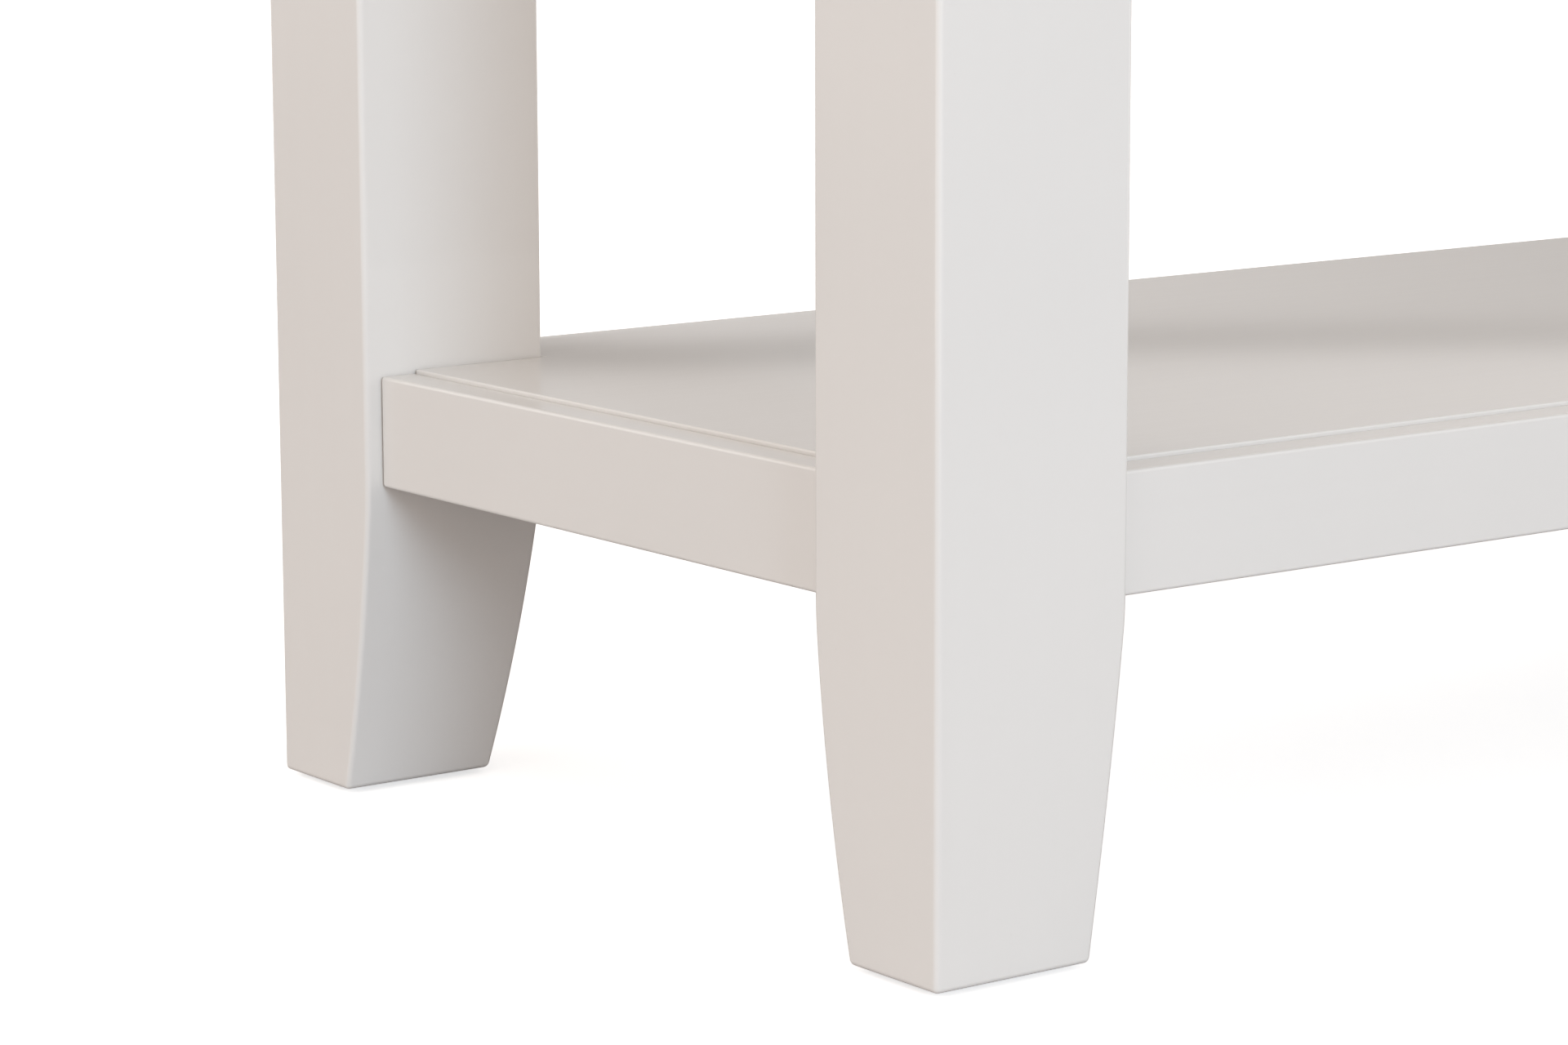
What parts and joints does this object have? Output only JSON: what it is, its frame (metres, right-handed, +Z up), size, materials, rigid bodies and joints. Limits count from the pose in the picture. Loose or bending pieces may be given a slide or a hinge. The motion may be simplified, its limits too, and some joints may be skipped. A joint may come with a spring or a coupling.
{
  "type": "console table",
  "caption": "Narrow painted console table on tapered legs, with drawers under the top and a low framed shelf.",
  "frame": {"origin": "on the floor, under the centre of the top board", "axes": "+X along the table's length, to the right of a person facing the drawers; +Y from the drawers to the back; +Z up"},
  "size_m": [1.01, 0.322, 0.78],
  "materials": {
    "paint": "satin off-white paint",
    "bare_wood": "bare pine, planed",
    "plywood": "thin plywood, sanded",
    "knob_steel": "brushed",
    "screw_steel": "plain zinc",
    "glide_plastic": "matt"
  },
  "bodies": {
    "frame": {"leg_front_left": "paint", "glide_front_left": "glide_plastic", "leg_front_right": "paint", "glide_front_right": "glide_plastic", "leg_rear_left": "paint", "glide_rear_left": "glide_plastic", "leg_rear_right": "paint", "glide_rear_right": "glide_plastic", "apron_left": "paint", "apron_right": "paint", "apron_back": "paint", "front_rail_lower": "paint", "front_rail_upper": "paint", "drawer_divider": "paint", "drawer_runner_right": "bare_wood", "drawer_runner_left": "bare_wood", "drawer_runner_center": "bare_wood", "kicker_left": "bare_wood", "kicker_right": "bare_wood", "kicker_center": "bare_wood", "drawer_stop_left": "bare_wood", "drawer_stop_right": "bare_wood", "top_screw_1": "screw_steel", "top_screw_2": "screw_steel", "top_screw_3": "screw_steel", "top_screw_4": "screw_steel", "top_board": "paint", "shelf_rail_front": "paint", "shelf_rail_back": "paint", "shelf_rail_left": "paint", "shelf_rail_right": "paint", "shelf_panel": "paint", "shelf_batten_left": "paint", "shelf_batten_right": "paint", "shelf_screw_1": "screw_steel", "shelf_screw_2": "screw_steel", "shelf_screw_3": "screw_steel", "shelf_screw_4": "screw_steel"},
    "drawer_left": {"drawer_left_front": "paint", "drawer_left_side_left": "bare_wood", "drawer_left_side_right": "bare_wood", "drawer_left_back": "bare_wood", "drawer_left_bottom": "plywood", "drawer_left_knob": "knob_steel", "drawer_left_knob_screw": "screw_steel", "drawer_left_catch_screw": "screw_steel"},
    "drawer_left_catch": {"drawer_left_catch": "bare_wood"},
    "drawer_right": {"drawer_right_front": "paint", "drawer_right_side_left": "bare_wood", "drawer_right_side_right": "bare_wood", "drawer_right_back": "bare_wood", "drawer_right_bottom": "plywood", "drawer_right_knob": "knob_steel", "drawer_right_knob_screw": "screw_steel", "drawer_right_catch_screw": "screw_steel"},
    "drawer_right_catch": {"drawer_right_catch": "bare_wood"}
  },
  "joints": [
    {"name": "drawer_left_slide", "type": "slide", "parent": "frame", "child": "drawer_left", "axis": [0, -1, 0], "range_m": [0, 0.1835]},
    {"name": "drawer_right_slide", "type": "slide", "parent": "frame", "child": "drawer_right", "axis": [0, -1, 0], "range_m": [0, 0.1835]},
    {"name": "drawer_left_catch_turn", "type": "hinge", "parent": "drawer_left", "child": "drawer_left_catch", "pos_m": [-0.221, 0.0917, 0.722], "axis": [0, 1, 0], "range_deg": [0, 90]},
    {"name": "drawer_right_catch_turn", "type": "hinge", "parent": "drawer_right", "child": "drawer_right_catch", "pos_m": [0.221, 0.0917, 0.722], "axis": [0, 1, 0], "range_deg": [0, 90]}
  ]
}
